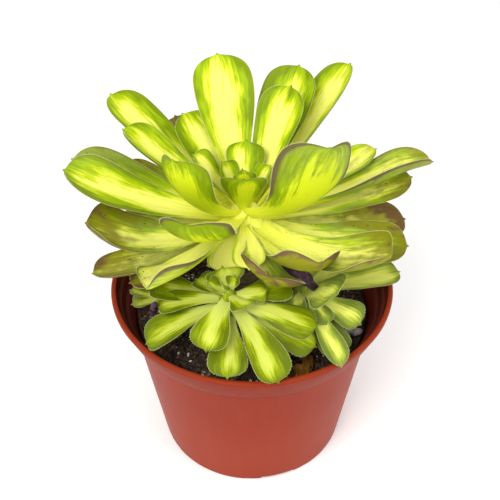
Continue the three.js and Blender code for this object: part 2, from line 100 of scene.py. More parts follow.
def closed_rings(rings, poles=None, values=None):
    """The surface of rings in a row, with a fan over each end.

    Each fan meets in a pole. Where no poles are given, they are the middles of the end rings.
    The values at the poles are the means of the end rings' values.
    """

    def with_poles(grid):
        return np.concatenate([grid.reshape(-1, 3), [grid[0].mean(axis=0), grid[-1].mean(axis=0)]])

    rows, columns = rings.shape[:2]
    count = rows * columns
    points = with_poles(rings) if poles is None else np.concatenate([rings.reshape(-1, 3), poles])
    start_fan = fan_faces(np.arange(columns), count)
    end_fan = fan_faces(np.arange(count - columns, count), count + 1)[:, ::-1]
    values = {title: with_poles(value) for title, value in (values or {}).items()}
    return points, ring_faces(rows, columns), np.concatenate([start_fan, end_fan]), values


def many_bodies(points, faces):
    """The surface of many small bodies whose corners are numbered alike."""
    count, corners = points.shape[:2]
    triangles = corners * np.arange(count)[:, None, None] + np.array(faces)
    return points.reshape(-1, 3), np.zeros((0, 4), int), triangles.reshape(-1, 3), {}


def make_mesh(name, surface, smooth=True):
    """A mesh of a surface in millimetres, with its values as attributes of the points."""
    points, squares, triangles, values = surface
    mesh = bpy.data.meshes.new(name)
    faces = squares.tolist() + triangles.tolist()
    mesh.from_pydata((points * MM).tolist(), [], faces, shade_flat=not smooth)
    for title, value in values.items():
        kind, field = ("FLOAT_VECTOR", "vector") if value.ndim == 2 else ("FLOAT", "value")
        attribute = mesh.attributes.new(title, kind, "POINT")
        attribute.data.foreach_set(field, value.astype(np.float32).ravel())
    return mesh


def make_piece(name, surface, material, node, smooth=True):
    """An object made of a surface, in place of a node of the solids."""
    mesh = make_mesh(name, surface, smooth)
    mesh.materials.append(material)
    piece = bpy.data.objects.new(name, mesh)
    bpy.context.collection.objects.link(piece)
    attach(piece, "root")
    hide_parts(node)
    print(name, "has", sum(face.loop_total - 2 for face in mesh.polygons), "triangles")
    return piece


def joined(parts):
    """Joins surfaces into one, counting the corners on."""
    points, squares, triangles, values = zip(*parts)
    firsts = np.cumsum([0] + [len(part) for part in points[:-1]])
    squares = np.concatenate([faces + first for faces, first in zip(squares, firsts)])
    triangles = np.concatenate([faces + first for faces, first in zip(triangles, firsts)])
    values = {title: np.concatenate([part[title] for part in values]) for title in values[0]}
    return np.concatenate(points), squares, triangles, values


def smooth_step(x):
    """0 below 0, 1 above 1 and an even S between."""
    x = np.clip(x, 0.0, 1.0)
    return x * x * (3 - 2 * x)


def mix(a, b, share):
    """The value that lies the given share of the way from a to b."""
    return a + (b - a) * share


def unit(vectors):
    """Vectors made one long."""
    return vectors / np.linalg.norm(vectors, axis=-1, keepdims=True)


def travel(line):
    """How far along a line of points each of them lies."""
    return np.concatenate([[0], np.cumsum(np.linalg.norm(np.diff(line, axis=0), axis=1))])


def along_axis(axes, amounts):
    """Steps of an amount for each point of a grid along the axis of its row."""
    return axes[:, None] * amounts[..., None]


print("a ring of 3 points carried over 2 rows:", ring_faces(2, 3).tolist())

# %% [markdown]
# ## Shader helpers
#
# The finishes are node trees: noise, ramps and mixes. Writing each node by hand is long, so a
# small sheet of helpers adds a node, wires it and returns its output. A finish starts from one
# tone and gets coats of others on top, each where its mask lets it. Numbers that are the same all
# over a surface go straight on the shader's own sockets.

# %% Shader helpers
class Sheet:
    """Adds nodes to one material. The colour so far starts as one tone."""

    def __init__(self, name, tone):
        self.color = tone
        self.material = bpy.data.materials.new(name)
        self.material.use_nodes = True
        self.tree = self.material.node_tree
        self.shader = self.tree.nodes["Principled BSDF"]

    def put(self, socket, value):
        """Wires an output to a socket, or writes a plain number on it."""
        if isinstance(value, bpy.types.NodeSocket):
            self.tree.links.new(value, socket)
        else:
            socket.default_value = value

    def fill(self, node, **values):
        """Puts each value on the node's socket of that name."""
        for title, value in values.items():
            self.put(node.inputs[title.replace("_", " ")], value)
        return node

    def node(self, kind, **values):
        return self.fill(self.tree.nodes.new("ShaderNode" + kind), **values)

    def attribute(self, name, output="Vector"):
        node = self.node("Attribute")
        node.attribute_name = name
        return node.outputs[output]

    def position(self):
        return self.node("TexCoord").outputs["Object"]

    def split(self, vector):
        return self.node("SeparateXYZ", Vector=vector).outputs

    def stretched(self, vector, scale):
        return self.node("Mapping", Vector=vector, Scale=scale).outputs[0]

    def noise(self, vector, scale, detail=3.0, roughness=0.5):
        measures = {"Scale": scale, "Detail": detail, "Roughness": roughness}
        return self.node("TexNoise", Vector=vector, **measures).outputs["Fac"]

    def cells(self, vector, scale):
        return self.node("TexVoronoi", Vector=vector, Scale=scale).outputs["Distance"]

    def math(self, kind, a, b):
        node = self.node("Math")
        node.operation = kind
        self.put(node.inputs[0], a)
        self.put(node.inputs[1], b)
        return node.outputs[0]

    def times(self, a, b):
        return self.math("MULTIPLY", a, b)

    def plus(self, a, b):
        return self.math("ADD", a, b)

    def fade(self, value, low, high):
        """0 where value is low and 1 where it is high, with an even S between."""
        node = self.node("MapRange", Value=value, From_Min=low, From_Max=high)
        node.interpolation_type = "SMOOTHSTEP"
        return node.outputs[0]

    def blend(self, share, first, second):
        """The share of the way from the first colour to the second."""
        node = self.node("Mix")
        node.data_type = "RGBA"
        self.put(node.inputs[0], share)
        for socket, value in ((node.inputs[6], first), (node.inputs[7], second)):
            self.put(socket, value if isinstance(value, bpy.types.NodeSocket) else (*value, 1.0))
        return node.outputs[2]

    def coat(self, tone, mask, share=1.0):
        """Lays a tone over the colour so far, as far as the mask says, times a share."""
        mask = mask if share == 1.0 else self.times(mask, share)
        self.color = self.blend(mask, self.color, tone)

    def bump(self, height, strength, distance):
        node = self.node("Bump", Height=height, Strength=strength, Distance=distance)
        self.fill(self.shader, Normal=node.outputs[0])

    def finish(self, roughness, specular):
        self.fill(self.shader, Base_Color=self.color, Roughness=roughness)
        self.fill(self.shader, Specular_IOR_Level=specular)
        return self.material


print("helpers:", [name for name in vars(Sheet) if not name.startswith("_")])

# %% [markdown]
# ## Floor and light
#
# A plain pale floor and a white surround give the bright, soft shadows of a product picture. One
# large lamp above the left front models the leaves, and a weaker one fills from the right.

# %% Floor and light
FLOOR_HALF = 4000.0
FLOOR_DROP = 0.2  # below the foot, so that the two faces don't flicker
LAMP_TARGET = np.array([0.0, 0.0, 120.0])
# place, width, watts, tint
LAMPS = {
    "key_lamp": ((-260, -480, 680), 420, 4.6, (1.0, 0.99, 0.97)),
    "fill_lamp": ((500, -300, 450), 500, 1.5, (0.97, 0.99, 1.0)),
}

corners = FLOOR_HALF * np.array([(-1, -1, 0), (1, -1, 0), (1, 1, 0), (-1, 1, 0)])
square = corners, np.array([[0, 1, 2, 3]]), np.zeros((0, 3), int), {}
floor = bpy.data.objects.new("floor", make_mesh("floor", square))
floor.location.z = -FLOOR_DROP * MM
floor.data.materials.append(Sheet("pale_floor", (0.98, 0.975, 0.965, 1.0)).finish(0.6, 0.5))
bpy.context.collection.objects.link(floor)

world = bpy.data.worlds.new("white_surround")
world.use_nodes = True
surround = world.node_tree.nodes["Background"].inputs
surround["Color"].default_value, surround["Strength"].default_value = (1.0, 1.0, 1.0, 1.0), 0.88
bpy.context.scene.world = world
bpy.context.scene.view_settings.view_transform = "Standard"
bpy.context.scene.view_settings.look = "None"
for name, (place, width, watts, tint) in LAMPS.items():
    data = bpy.data.lights.new(name, "AREA")
    data.shape, data.size, data.energy, data.color = "SQUARE", width * MM, watts, tint
    lamp = bpy.data.objects.new(name, data)
    lamp.location = Vector(np.array(place) * MM)
    lamp.rotation_euler = Vector(LAMP_TARGET - place).to_track_quat("-Z", "Y").to_euler()
    bpy.context.collection.objects.link(lamp)

# %% [markdown]
# ## The leaf finish
#
# A variegated leaf is yellow in the middle and green at its margins. The border between the two is
# torn into long streaks that follow the leaf. Each leaf carries three values of its own at every
# point: how far into the green margin it lies, how aged it is there, and how much of the
# purple-brown flush it has. The nodes tear these smooth fields with noise that is drawn out
# along the leaf. Both the noise and the freckles use the leaf's own measure, across and along in
# millimetres, so the streaks follow every bend.

# %% Leaf finish
# tones of the main rosette, of the front and back offsets, and of the side offset; the offsets'
# columns are mostly darker copies of the main one: painted shade of the rosette above them
LEAF_TONES = {
    "pale": ((0.87, 0.85, 0.17), (0.56, 0.61, 0.095), (0.84, 0.86, 0.17)),
    "waist": ((0.81, 0.83, 0.055), (0.53, 0.59, 0.14), (0.53, 0.59, 0.14)),
    "lime": ((0.6, 0.67, 0.016), (0.38, 0.455, 0.015), (0.5, 0.58, 0.06)),
    "margin": ((0.3, 0.43, 0.003), (0.2, 0.258, 0.002), (0.265, 0.33, 0.04)),
    "deep": ((0.17, 0.245, 0.002), (0.108, 0.145, 0.002), (0.15, 0.205, 0.03)),
    "outer_lime": ((0.55, 0.63, 0.01), (0.3, 0.375, 0.038), (0.3, 0.375, 0.038)),
    "outer_green": ((0.25, 0.35, 0.003), (0.125, 0.198, 0.02), (0.125, 0.198, 0.02)),
}
AGED_OLIVE = (0.215, 0.2, 0.006)
AGED_BROWN = (0.15, 0.088, 0.03)
FLUSH_BROWN = (0.1, 0.062, 0.038)
SPOT_BROWN = (0.13, 0.045, 0.015)
RIM_CREAM = (0.54, 0.56, 0.2)
SAGE_VEIL = (0.48, 0.53, 0.2)


def leaf_finish(name, column):
    """Yellow to green by the torn margin field, then age, flush, freckles and the pale rim."""
    tones = {title: row[column] for title, row in LEAF_TONES.items()}
    sheet = Sheet(name, tones["pale"])
    place = sheet.attribute("leaf_place")
    coat, fade, times, plus = sheet.coat, sheet.fade, sheet.times, sheet.plus
    green_field, age_field, flush_field = sheet.split(sheet.attribute("leaf_stain"))[:3]
    edge, along, outer = sheet.split(sheet.attribute("leaf_share"))[:3]

    def drawn(across, lengthwise, *detail):
        """Noise stretched along the leaf."""
        return sheet.noise(sheet.stretched(place, (across, lengthwise, 1.0)), 1.0, *detail)

    def swing(value, amount):
        """A noise value about its middle, times an amount."""
        return times(plus(value, -0.5), amount)

    streaks, fine_streaks = drawn(0.5, 0.06, 4.0, 0.58), drawn(2.6, 0.09, 3.0, 0.6)
    patches, clouds = drawn(0.15, 0.06, 2.0), drawn(0.2, 0.12, 3.0)

    torn = plus(green_field, plus(swing(streaks, 0.95), swing(patches, 0.6)))
    torn = plus(torn, swing(fine_streaks, 0.48))
    coat(tones["lime"], fade(fine_streaks, 0.5, 0.66), 0.3)
    coat(tones["lime"], fade(torn, -0.29, 0))
    coat(tones["outer_lime"], outer)
    coat(sheet.blend(outer, tones["margin"], tones["outer_green"]), fade(torn, -0.11, 0.16))
    coat(tones["deep"], fade(plus(torn, swing(clouds, 0.5)), 0.1, 0.46))
    coat(tones["waist"], fade(along, 0.42, 0.12), 0.75)

    ribs = fade(drawn(2.6, 0.025, 2.0), 0.54, 0.68)
    coat(tones["margin"], times(ribs, fade(along, 0.8, 0.35)), 0.3)
    coat(SAGE_VEIL, times(fade(age_field, -0.18, 0.05), fade(clouds, 0.28, 0.55)), 0.26)

    worn = plus(age_field, plus(swing(clouds, 0.9), swing(streaks, 0.4)))
    coat(AGED_OLIVE, fade(worn, 0, 0.45), 0.85)
    coat(AGED_BROWN, fade(worn, 0.46, 0.74))
    flushed = plus(flush_field, swing(clouds, 0.6))
    coat(FLUSH_BROWN, fade(flushed, 0.25, 0.75), 0.85)

    spots = fade(sheet.cells(sheet.stretched(place, (0.3, 0.22, 1.0)), 1.0), 0.17, 0.08)
    spots = times(spots, fade(age_field, -0.2, 0.05))
    coat(SPOT_BROWN, times(spots, fade(patches, 0.44, 0.54)), 0.85)
    rim_line = times(fade(edge, 0.92, 0.975), fade(flush_field, 0.06, 0.45))
    coat(FLUSH_BROWN, rim_line, 0.8)
    coat(RIM_CREAM, fade(edge, 0.975, 0.998), 0.65)

    sheet.bump(plus(fine_streaks, streaks), 0.3, 0.0005)
    sheet.fill(sheet.shader, Subsurface_Weight=0.1, Subsurface_Scale=0.003)
    sheet.fill(sheet.shader, Subsurface_Radius=(0.9, 1.0, 0.25))
    return sheet.finish(plus(0.34, times(fine_streaks, 0.16)), 0.08)


main_skin = leaf_finish("variegated_leaf", 0)
# the offsets' darker tone columns are painted shade
shaded_offset_skin = leaf_finish("offset_leaf", 1)
shaded_side_skin = leaf_finish("side_offset_leaf", 2)
LEAF_SKINS = {"main": main_skin, "front": shaded_offset_skin, "side": shaded_side_skin, "back": shaded_offset_skin}
print("nodes:", {skin.name: len(skin.node_tree.nodes) for skin in LEAF_SKINS.values()})

# %% [markdown]
# ## The leaf's form
#
# A leaf is a section carried along the midrib. The midrib leaves the crown at one slope and ends at
# another, so it is found by adding up short steps. The section is a thin lens bent into an arc,
# the leaf's cup. Its width follows the spoon outline: a narrow waist, the widest place at four
# fifths of the length, then a round end with a small point. A ring of points that runs over the
# upper face and back under the lower one makes the blade one closed surface. Formulas suit it
# better than modelling by hand, since one form serves all 76 leaves.

# %% Leaf form
LEAF_WAIST = 0.36  # share of the full width
LEAF_WIDEST = 0.8  # share of the length
WAIST_SHAPE = 1.3  # power of the S above the waist
END_SHAPE = 2.7  # power of the round end
WAIST_CUP = 25.0  # degrees
MIDDLE_THICKNESS = 2.4
FULL_WIDTH = 30.0  # of the leaf that has this thickness
POINT_LENGTH = 2.3
POINT_SIZE = 3.2
GROOVE_DEPTH = 0.28
GROOVE_WIDTH = 1.5
RIPPLES = 2.3  # along the leaf
RING = 44  # points round a section
STEPS = 240  # short steps along the midrib


def leaf_outline(s):
    """Share of the full width: an S from the waist to the widest place, then a rounded end."""
    rising = LEAF_WAIST + (1 - LEAF_WAIST) * smooth_step(s / LEAF_WIDEST) ** WAIST_SHAPE
    end = np.clip((s - LEAF_WIDEST) / (1 - LEAF_WIDEST), 0, 1)
    return np.where(s <= LEAF_WIDEST, rising, np.sqrt(np.clip(1 - end**END_SHAPE, 0, 1)))


def leaf_stations(rows):
    """Shares of the length to just short of the end, closer together where it turns round."""
    x = np.linspace(0, 0.97, rows)
    turning = LEAF_WIDEST + (1 - LEAF_WIDEST) * np.sin(0.5 * np.pi * (x - 0.6) / 0.4)
    return np.where(x < 0.6, LEAF_WIDEST * x / 0.6, turning)


def leaf_surface(base, leaf, seed, rows):
    """Rings of one blade, with their shares s of the length and the angles f round a ring.

    The midrib is the sum of short steps whose slope goes evenly from the first rise to the second,
    plus the end curl. Across it the blade is an arc: sideways = w sin(a t) / a and
    up = w (1 - cos(a t)) / a, with t from -1 to 1, half width w and cup a. The flesh stands off
    along the arc's normal by sin(f) (0.45 + 0.55 sin(f) squared) of half the thickness, where
    t = cos(f) goes round the ring.
    """
    at, length, width, rise_0, rise_1, _, cup, _, age, _, roll, curl, end_cup = leaf
    s = leaf_stations(rows)

    def slope_at(share):
        return np.radians(mix(rise_0, rise_1, share) + curl * smooth_step((share - 0.7) / 0.3))

    def summed(steps):
        total = np.concatenate([[0], np.cumsum(steps)]) * length / STEPS
        return np.interp(s, np.linspace(0, 1, STEPS + 1), total)

    fine_slope = slope_at((np.arange(STEPS) + 0.5) / STEPS)
    reach, lift = summed(np.cos(fine_slope)), summed(np.sin(fine_slope))
    slope, turn = slope_at(s), np.radians(roll)
    x, y = np.cos(np.radians(at)), np.sin(np.radians(at))
    middle = base + np.stack([reach * x, reach * y, lift], axis=-1)
    side = np.array([-y, x, 0.0])
    above = np.stack([-np.sin(slope) * x, -np.sin(slope) * y, np.cos(slope)], axis=-1)
    left = side * np.cos(turn) + above * np.sin(turn)
    normal = above * np.cos(turn) - side * np.sin(turn)

    along = s[:, None]
    point = POINT_LENGTH / length
    blade = 0.5 * width * leaf_outline(np.clip(along / (1 - 0.6 * point), 0, 1))
    to_end = (1 - along) / point
    tip = POINT_SIZE * np.sqrt(width / FULL_WIDTH) * to_end**1.15
    tip = tip * np.clip(1 - to_end / 3, 0, 1) ** 2
    w = np.sqrt(blade**2 + tip**2)
    waist_cup, tip_cup = 1 - smooth_step(along / 0.5), smooth_step((along - 0.6) / 0.4)
    bend = np.radians(cup + WAIST_CUP * waist_cup + end_cup * tip_cup)
    bend = np.where(np.abs(bend) < 0.05, 0.05, bend)

    f = 2 * np.pi * np.arange(RING) / RING
    t = np.cos(f)
    phase = np.sin(seed * 12.9898) * 3.0 + np.where(t > 0, 0.0, 1.9)
    ripple = (0.030 + 0.035 * age) * width * np.abs(t) ** 3 * smooth_step(along / 0.5)
    wave = ripple * np.sin(2 * np.pi * RIPPLES * along + phase) * (w / w.max())
    sideways = w * np.sin(bend * t) / bend
    upwards = w * (1 - np.cos(bend * t)) / bend + 0.35 * wave
    face = along_axis(normal, np.cos(bend * t)) - along_axis(left, np.sin(bend * t))

    lens = np.sin(f) * (0.45 + 0.55 * np.sin(f) ** 2)
    flesh = 0.5 * MIDDLE_THICKNESS * np.sqrt(width / FULL_WIDTH) * lens
    end_share = 1 - 0.25 * smooth_step((along - 0.8) / 0.2)
    flesh = flesh * np.sqrt(np.clip(w / 2.5, 0.05, 1)) * end_share
    groove = GROOVE_DEPTH * np.exp(-((t * w / GROOVE_WIDTH) ** 2)) * (np.sin(f) > 0)
    groove = groove * smooth_step(along / 0.3) * (along < 0.97) * np.sqrt(np.clip(w / 8, 0, 1))
    points = middle[:, None] + along_axis(left, sideways) + along_axis(normal, upwards)
    return points + face * (flesh - groove)[..., None], s, f


print("leaf outline at 0, 0.5, 0.8 and 1:", leaf_outline(np.array([0, 0.5, 0.8, 1.0])).round(2))

# %% [markdown]
# ## The leaves of each rosette
#
# Each leaf is a row: compass direction, length, width, slope at the crown and at the tip, place on
# the crown and cup. The next three numbers are its looks: how wide the green margin is, how aged
# the end is and how much purple-brown flush its outer margin has. The place on the crown and the
# looks are in hundredths. Some rows go on with the roll, or with the roll, the end curl and the
# end cup. The tips that show were picked by eye in the photograph, and a solver outside this
# script suggested directions and lengths for them. Eight whole rows of the main rosette were also
# fitted to picked outlines. The rest was set one by one, and the hidden leaves are guessed.

# %% Leaf tables
MAIN_LEAVES = [
    (125, 68, 28, -14, -8, 0, 35, 60, 50, 30),
    (97, 70, 29, -16, -10, 2, 35, 60, 50, 30),
    (70, 68, 28, -16, -8, 4, 35, 60, 50, 30),
    (45, 66, 27, -14, -6, 6, 35, 60, 50, 30),
    (-166, 74, 28, -32, 6, 5, 35, 62, 80, 60, 10),
    (-160, 58, 25, -38, -4, 2, 30, 60, 90, 60),
    (12, 81, 27, -22, 6, 10, 26, 60, 97, 60, 14),
    (-6, 77, 30, -20, 8, 12, 28, 90, 66, 40, 10),
    (-33, 79, 39, -20, 42, 20, 32, 64, 62, 40, -2, 0, 16),
    (-74, 43, 38, -30, 31, 10, 29, 90, 85, 70, -36, 40, 20),
    (-54, 59, 38, -22, 45, 25, 26, 115, 80, 60, -24, 17, 47),
    (150, 72, 27, -4, 16, 12, 30, 70, 65, 70),
    (124, 66, 22, 20, 32, 18, 30, 70, 90, 90),
    (-164, 78, 35, -23, 48, 22, 35, 76, 76, 100, -4, 0, 13),
    (170, 63, 28, -26, 8, 15, 30, 50, 60, 30),
    (24, 62, 24, 0, 14, 15, 30, 60, 50, 40, 10),
    (42, 56, 24, 10, 20, 15, 30, 80, 60, 60),
    (10, 82, 27, 0, 22, 28, 30, 75, 64, 50, 5),
    (22, 71, 20, 12, 28, 30, 40, 50, 35, 40),
    (8, 93, 28, 6, 32, 38, 58, 74, 42, 80, -16, -25, 10),
    (165, 88, 29, 4, 22, 34, 38, 85, 24, 75, -8),
    (181, 88, 32, 2, 38, 40, 42, 78, 14, 60, -8),
    (-133, 61, 33, -22, 17, 30, 35, 35, 28, 100, 31, -8, 43),
    (-116, 26, 20, -30, -72, 30, 35, 20, 0, 10),
    (-85, 27, 17, -8, -38, 42, 30, 15, 10, 10),
    (-118, 60, 38, 2, 56, 50, 27, 95, 4, 85, 15, 24, 26),
    (147, 88, 29, 27, 33, 44, 32, 65, 6, 50, 5),
    (44, 90, 27, 36, 42, 48, 45, 62, 0, 55, -14),
    (61, 77, 30, 44, 50, 50, 30, 80, 5, 70),
    (162, 69, 24, 26, 38, 58, 60, 68, 0, 30),
    (-48, 85.5, 40, 22, 86, 62, 36, 74, 16, 95, -28, -14, 30),
    (-139, 65, 31, 20, 86, 64, 45, 74, 5, 30, 18, 0, 20),
    (106, 77, 32, 54, 56, 60, 30, 63, 0, 15),
    (54, 63, 26, 54, 56, 70, 30, 66, 0, 20),
    (140, 54, 27, 46, 50, 68, 35, 68, 0, 15),
    (170, 36, 20, 50, 54, 78, 40, 70, 0, 10),
    (-90, 26, 25, 60, 85, 80, 45, 85, 0, 30),
    (86, 31, 21, 62, 60, 85, 40, 80, 0, 0),
    (20, 23, 15, 58, 62, 88, 45, 70, 0, 0),
    (146, 23, 15, 60, 64, 92, 45, 75, 0, 0),
    (-80, 22, 13, 74, 90, 96, 50, 70, 0, 0),
    (100, 17, 10, 80, 84, 100, 60, 70, 0, 0),
]
FRONT_LEAVES = [
    (-91, 33, 20, -10, -34, 0, 30, 80, 10, 10),
    (-22, 42, 19, -6, -24, 5, -20, 85, 10, 10, 10),
    (-163, 41, 22, -8, -33, 10, 30, 84, 10, 10),
    (-59, 45, 20, 0, -40, 30, 30, 78, 0, 10),
    (160, 39, 18, -2, -6, 30, 30, 82, 5, 10, -8),
    (-16, 41, 20, 2, -16, 35, -25, 85, 0, 10, 10),
    (177, 33, 17, 0, -24, 45, 30, 82, 0, 10),
    (20, 29, 22, 10, 4, 45, -15, 82, 0, 10),
    (145, 18, 15, 12, 8, 50, 40, 90, 0, 10),
    (-110, 30, 20, 4, -34, 60, 35, 82, 0, 10),
    (108, 14, 21, 42, 58, 65, 35, 82, 0, 10),
    (6, 17, 14, 16, 4, 70, -25, 78, 0, 10, 10),
    (175, 12, 12, 40, 36, 80, 50, 90, 0, 0),
    (-60, 15, 12, 24, 4, 85, -25, 70, 0, 0),
    (60, 9, 9, 60, 60, 90, 50, 85, 0, 0),
    (-140, 8, 7, 70, 70, 100, 50, 80, 0, 0),
]
SIDE_LEAVES = [
    (-62, 32, 19, -12, -30, 0, 30, 100, 10, 10),
    (-72, 46, 15, 4, -8, 10, 60, 85, 15, 10),
    (-32, 29, 21, -2, -18, 20, 30, 82, 0, 10),
    (14, 48, 23, 2, 6, 30, 35, 60, 0, 10),
    (45, 36, 20, 4, 4, 25, 35, 70, 0, 10),
    (90, 34, 20, 4, 2, 30, 35, 70, 0, 10),
    (140, 21, 18, 6, 0, 40, 35, 70, 0, 10),
    (-66, 22, 12, 0, -10, 40, 40, 95, 10, 0),
    (-110, 20, 14, 6, -4, 50, 40, 95, 10, 0),
    (-58, 29, 24, 40, 28, 60, 12, 82, 0, 10, 25),
    (60, 20, 14, 34, 30, 70, 40, 80, 0, 0),
    (170, 12, 12, 44, 36, 80, 40, 80, 0, 0),
]
BACK_ROWS = [
    (-165, 15, 11, 4, 0, 30),
    (165, 17, 9, 10, 6, 30),
    (100, 18, 10, 16, 12, 40),
    (20, 15, 10, 26, 20, 50),
    (-70, 14, 9, 20, 14, 60),
    (150, 10, 7, 56, 54, 80),
]
BACK_LEAVES = [(*row, 40, 90, 30, 0) for row in BACK_ROWS]
# centre, heights and radii where the oldest and the youngest leaf leave the crown
ROSETTES = {
    "main": ((-4, 0), (141, 157), (9, 2), MAIN_LEAVES),
    "front": ((-11, -36.7), (118.5, 129.5), (6, 1.2), FRONT_LEAVES),
    "side": ((27, -17), (107, 119), (6, 1.5), SIDE_LEAVES),
    "back": ((-47, -9), (96, 103), (3.5, 1), BACK_LEAVES),
}
print("leaves:", {title: len(rosette[3]) for title, rosette in ROSETTES.items()})

# %% [markdown]
# ## Stains
#
# The three smooth fields of the leaf finish are worked out here. The green margin grows from
# nothing at the waist to its full share at the widest place. Age comes in from the tip and the
# margins. The flush is a band just inside the margin, mostly on the lower face.

# %% Leaf parts
def leaf_values(s, f, leaf, seed):
    """Place in millimetres, the three stains, and shares: off the middle, along, outer face."""
    green, age, flush = leaf[7:10]
    whole = np.ones((len(s), RING))
    along, across = s[:, None] * whole, np.cos(f) * whole
    outer = smooth_step(-3 * np.sin(f)) * whole
    lean = 0.16 * np.sin(seed * 7.31)
    off_middle = np.abs(across - lean * smooth_step(along / 0.6))
    near_tip = 0.72 * np.clip((along - 0.62) / 0.38, 0, 1) ** 1.6
    off_middle = (off_middle**3 + near_tip**3) ** (1 / 3)
    limit = 1.16 - green * 0.95 * smooth_step((along - 0.08) / 0.55)
    green_field = off_middle - limit
    tip_age, margin_age = 0.75 * smooth_step((along - 0.42) / 0.55), 0.35 * np.abs(across) ** 3
    age_field = age * (tip_age + margin_age + 0.25) - 0.25
    flush_field = flush * mix(0.45, 1.0, outer) * smooth_step((np.abs(across) - 0.72) / 0.26)
    flush_field = flush_field * smooth_step((along - 0.25) / 0.4)
    end_share = np.where(along > LEAF_WIDEST, leaf_outline(along), 1.0)
    place = across * end_share * 0.5 * leaf[2], along * leaf[1], np.full_like(along, seed * 3.7)
    return {
        "leaf_place": np.stack(place, axis=-1),
        "leaf_stain": np.stack([green_field, age_field, flush_field], axis=-1),
        "leaf_share": np.stack([np.abs(across), along, outer], axis=-1),
    }


def leaf_part(base, leaf, seed):
    """One closed blade. A leaf shorter than 27 mm needs fewer rings."""
    points, s, f = leaf_surface(base, leaf, seed, 44 if leaf[1] >= 27 else 26)
    return closed_rings(points, values=leaf_values(s, f, leaf, seed))


def each_leaf(rosette, make):
    """The joined parts that make builds for all leaves, each from its place on the crown."""
    centre, heights, radii, leaves = rosette
    parts = []
    for seed, row in enumerate(leaves, start=1):
        leaf = np.array((*row, 0, 0, 0)[:13], float)
        leaf[[5, 7, 8, 9]] /= 100
        radius, angle = mix(*radii, leaf[5]), np.radians(leaf[0])
        x, y = centre[0] + radius * np.cos(angle), centre[1] + radius * np.sin(angle)
        parts.append(make(np.array([x, y, mix(*heights, leaf[5])]), leaf, seed))
    return joined(parts)


for title, rosette in ROSETTES.items():
    leaves = each_leaf(rosette, leaf_part)
    make_piece(title + "_leaves", leaves, LEAF_SKINS[title], title + "_rosette")

# %% [markdown]
# ## Hairs of the leaf margins
#
# The edge of an aeonium leaf carries a comb of tiny pale teeth, half a millimetre long. From a
# distance they are the thin light line round each leaf. Each tooth is a slim three-sided spike,
# and all of one rosette's teeth are one mesh. They are placed by walking along both margins.

# %% Margin teeth
TOOTH_SPACING = 0.85
TOOTH_LENGTH = 0.52
TOOTH_WIDTH = 0.13
TOOTH_LEAN = 0.45  # towards the tip
TOOTH_SUNK = 0.12
TOOTH_ROWS = 200
TOOTH_RANGE = [0.16, 0.975]  # shares of the leaf's length
TOOTH_FOOT = [(1, 0), (-0.5, 0.87), (-0.5, -0.87)]
TOOTH_FACES = [(0, 2, 1), (0, 1, 3), (1, 2, 3), (2, 0, 3)]


def read_off(marks, travelled, line):
    """The points of a line at the marks, from how far along each of its own points lies."""
    return np.stack([np.interp(marks, travelled, values) for values in line.T], axis=-1)


def tooth_part(base, leaf, seed):
    """Spikes along both margins: each has three corners round its foot and one at its point."""
    points, s, _ = leaf_surface(base, leaf, seed, TOOTH_ROWS)
    chance = np.random.default_rng(100 * seed + 13)
    spikes = []
    for column, inner in ((0, 3), (RING // 2, RING // 2 - 3)):
        line = points[:, column]
        travelled = travel(line)
        first, last = travelled[np.searchsorted(s, TOOTH_RANGE)]
        marks = np.arange(first, last, TOOTH_SPACING)
        marks = marks + chance.uniform(-0.25, 0.25, len(marks))
        foot = read_off(marks, travelled, line)
        forward = unit(read_off(marks + 0.3, travelled, line) - foot)
        outward = foot - read_off(marks, travelled, points[:, inner])
        outward = unit(outward - forward * (outward * forward).sum(axis=1)[:, None])
        across = np.cross(forward, outward)
        size = TOOTH_LENGTH * chance.uniform(0.7, 1.15, len(marks))[:, None]
        point = foot + (outward + TOOTH_LEAN * forward) * size
        root = foot - outward * TOOTH_SUNK
        corners = [root + TOOTH_WIDTH * (forward * a + across * b) for a, b in TOOTH_FOOT]
        spikes.append(np.stack([*corners, point], axis=1))
    return many_bodies(np.concatenate(spikes), TOOTH_FACES)


# pale cream, with a little warm and cool change from tooth to tooth
sheet = Sheet("margin_teeth", (0.5, 0.53, 0.2))
sheet.coat((0.68, 0.7, 0.34), sheet.noise(sheet.position(), 900.0, 1.0))
tooth_skin = sheet.finish(0.55, 0.3)
for title, rosette in ROSETTES.items():
    teeth = each_leaf(rosette, tooth_part)
    make_piece(title + "_teeth", teeth, tooth_skin, title + "_rosette", smooth=False)

# %% [markdown]
# ## Bodies turned about a vertical axis
#
# The pot, the soil and the crowns are all turned: an outline of radius and height is carried round
# an axis. The crown is the short green stem end that the leaves grow from, and it closes the view
# between their waists.

# %% Turned bodies and crowns
def turned_part(outline, sectors, centre=(0.0, 0.0)):
    """A closed turned body. Its outline, (radius, height) rows, starts and ends on the axis.

    For each angle a: x = centre + radius cos(a), y = centre + radius sin(a), z = height.
    """
    radius, height = np.array(outline, float).T[:, :, None]
    angle = 2 * np.pi * np.arange(sectors) / sectors
    x, y = centre[0] + radius * np.cos(angle), centre[1] + radius * np.sin(angle)
    rings = np.stack([x, y, height * np.ones(sectors)], axis=-1)
    return closed_rings(rings[1:-1], rings[[0, -1], 0])


def rounded(outline):
    """Cuts each corner at a quarter and three quarters of its sides, twice. The ends stay."""
    line = np.array(outline, float)
    for _ in range(2):
        near = 0.75 * line[:-1] + 0.25 * line[1:]
        far = 0.25 * line[:-1] + 0.75 * line[1:]
        line = np.concatenate([line[:1], np.stack([near, far], axis=1).reshape(-1, 2), line[-1:]])
    return line


